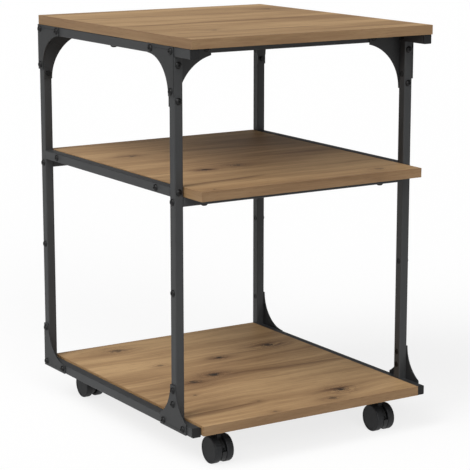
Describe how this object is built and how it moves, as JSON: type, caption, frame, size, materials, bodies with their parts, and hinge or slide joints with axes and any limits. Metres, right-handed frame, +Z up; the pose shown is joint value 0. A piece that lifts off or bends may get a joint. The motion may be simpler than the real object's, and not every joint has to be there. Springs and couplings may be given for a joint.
{
  "type": "mobile printer stand",
  "caption": "Rolling printer stand with three wood boards in a bolted square-tube frame with curved gussets, on twin-wheel swivel casters, the front ones with brake levers.",
  "frame": {"origin": "on the floor, under the middle of the stand", "axes": "+X to the stand's right seen from its front, -Y towards the front, +Z up"},
  "size_m": [0.454, 0.506, 0.665],
  "materials": {
    "oak_board": "matte oak-look melamine",
    "black_steel": "fine matte powder coat",
    "black_plastic": "satin moulded plastic",
    "wheel_nylon": "satin nylon",
    "black_fastener": "black oxide, slightly glossy",
    "bare_steel": "zinc plated"
  },
  "bodies": {
    "stand": {"top_board": "oak_board", "middle_shelf": "oak_board", "bottom_board": "oak_board", "top_rail_left": "black_steel", "middle_rail_left": "black_steel", "bottom_rail_left": "black_steel", "top_rail_right": "black_steel", "middle_rail_right": "black_steel", "bottom_rail_right": "black_steel", "post_front_left": "black_steel", "post_front_right": "black_steel", "post_rear_left": "black_steel", "post_rear_right": "black_steel", "top_cross_rail_front": "black_steel", "middle_cross_rail_front": "black_steel", "top_cross_rail_rear": "black_steel", "middle_cross_rail_rear": "black_steel", "gusset_top_front_left": "black_steel", "gusset_top_rear_left": "black_steel", "gusset_bottom_rear_left": "black_steel", "gusset_tee_left": "black_steel", "gusset_inner_front_left": "black_steel", "gusset_inner_rear_left": "black_steel", "gusset_top_front_right": "black_steel", "gusset_top_rear_right": "black_steel", "gusset_bottom_rear_right": "black_steel", "gusset_tee_right": "black_steel", "gusset_inner_front_right": "black_steel", "gusset_inner_rear_right": "black_steel", "top_rail_caps_left": "black_plastic", "top_rail_caps_right": "black_plastic", "bottom_rail_caps_left": "black_plastic", "bottom_rail_caps_right": "black_plastic", "frame_bolts": "black_fastener", "frame_nuts": "black_fastener", "board_screws": "black_fastener", "rail_inserts": "black_plastic", "caster_screws": "bare_steel", "caster_plate_front_left": "bare_steel", "caster_plate_front_right": "bare_steel", "caster_plate_rear_left": "bare_steel", "caster_plate_rear_right": "bare_steel"},
    "caster_front_left": {"caster_body_front_left": "black_plastic", "caster_axle_front_left": "bare_steel"},
    "wheel_front_left_l": {"caster_wheel_front_left_l": "wheel_nylon"},
    "wheel_front_left_r": {"caster_wheel_front_left_r": "wheel_nylon"},
    "brake_left": {"brake_lever_left": "black_plastic"},
    "caster_front_right": {"caster_body_front_right": "black_plastic", "caster_axle_front_right": "bare_steel"},
    "wheel_front_right_l": {"caster_wheel_front_right_l": "wheel_nylon"},
    "wheel_front_right_r": {"caster_wheel_front_right_r": "wheel_nylon"},
    "brake_right": {"brake_lever_right": "black_plastic"},
    "caster_rear_left": {"caster_body_rear_left": "black_plastic", "caster_axle_rear_left": "bare_steel"},
    "wheel_rear_left_l": {"caster_wheel_rear_left_l": "wheel_nylon"},
    "wheel_rear_left_r": {"caster_wheel_rear_left_r": "wheel_nylon"},
    "caster_rear_right": {"caster_body_rear_right": "black_plastic", "caster_axle_rear_right": "bare_steel"},
    "wheel_rear_right_l": {"caster_wheel_rear_right_l": "wheel_nylon"},
    "wheel_rear_right_r": {"caster_wheel_rear_right_r": "wheel_nylon"}
  },
  "joints": [
    {"name": "swivel_front_left", "type": "hinge", "parent": "stand", "child": "caster_front_left", "pos_m": [-0.1555, -0.2005, 0.058], "axis": [0, 0, 1], "continuous": true},
    {"name": "roll_front_left_l", "type": "hinge", "parent": "caster_front_left", "child": "wheel_front_left_l", "pos_m": [-0.16625, -0.2125, 0.022], "axis": [1, 0, 0], "continuous": true},
    {"name": "roll_front_left_r", "type": "hinge", "parent": "caster_front_left", "child": "wheel_front_left_r", "pos_m": [-0.14475, -0.2125, 0.022], "axis": [1, 0, 0], "continuous": true},
    {"name": "brake_left_swing", "type": "hinge", "parent": "caster_front_left", "child": "brake_left", "pos_m": [-0.1555, -0.226, 0.022], "axis": [-1, 0, 0], "range_deg": [0, 14]},
    {"name": "swivel_front_right", "type": "hinge", "parent": "stand", "child": "caster_front_right", "pos_m": [0.1555, -0.2005, 0.058], "axis": [0, 0, 1], "continuous": true},
    {"name": "roll_front_right_l", "type": "hinge", "parent": "caster_front_right", "child": "wheel_front_right_l", "pos_m": [0.14475, -0.2125, 0.022], "axis": [1, 0, 0], "continuous": true},
    {"name": "roll_front_right_r", "type": "hinge", "parent": "caster_front_right", "child": "wheel_front_right_r", "pos_m": [0.16625, -0.2125, 0.022], "axis": [1, 0, 0], "continuous": true},
    {"name": "brake_right_swing", "type": "hinge", "parent": "caster_front_right", "child": "brake_right", "pos_m": [0.1555, -0.226, 0.022], "axis": [-1, 0, 0], "range_deg": [0, 14]},
    {"name": "swivel_rear_left", "type": "hinge", "parent": "stand", "child": "caster_rear_left", "pos_m": [-0.1555, 0.2005, 0.058], "axis": [0, 0, 1], "continuous": true},
    {"name": "roll_rear_left_l", "type": "hinge", "parent": "caster_rear_left", "child": "wheel_rear_left_l", "pos_m": [-0.16625, 0.2125, 0.022], "axis": [1, 0, 0], "continuous": true},
    {"name": "roll_rear_left_r", "type": "hinge", "parent": "caster_rear_left", "child": "wheel_rear_left_r", "pos_m": [-0.14475, 0.2125, 0.022], "axis": [1, 0, 0], "continuous": true},
    {"name": "swivel_rear_right", "type": "hinge", "parent": "stand", "child": "caster_rear_right", "pos_m": [0.1555, 0.2005, 0.058], "axis": [0, 0, 1], "continuous": true},
    {"name": "roll_rear_right_l", "type": "hinge", "parent": "caster_rear_right", "child": "wheel_rear_right_l", "pos_m": [0.14475, 0.2125, 0.022], "axis": [1, 0, 0], "continuous": true},
    {"name": "roll_rear_right_r", "type": "hinge", "parent": "caster_rear_right", "child": "wheel_rear_right_r", "pos_m": [0.16625, 0.2125, 0.022], "axis": [1, 0, 0], "continuous": true}
  ]
}
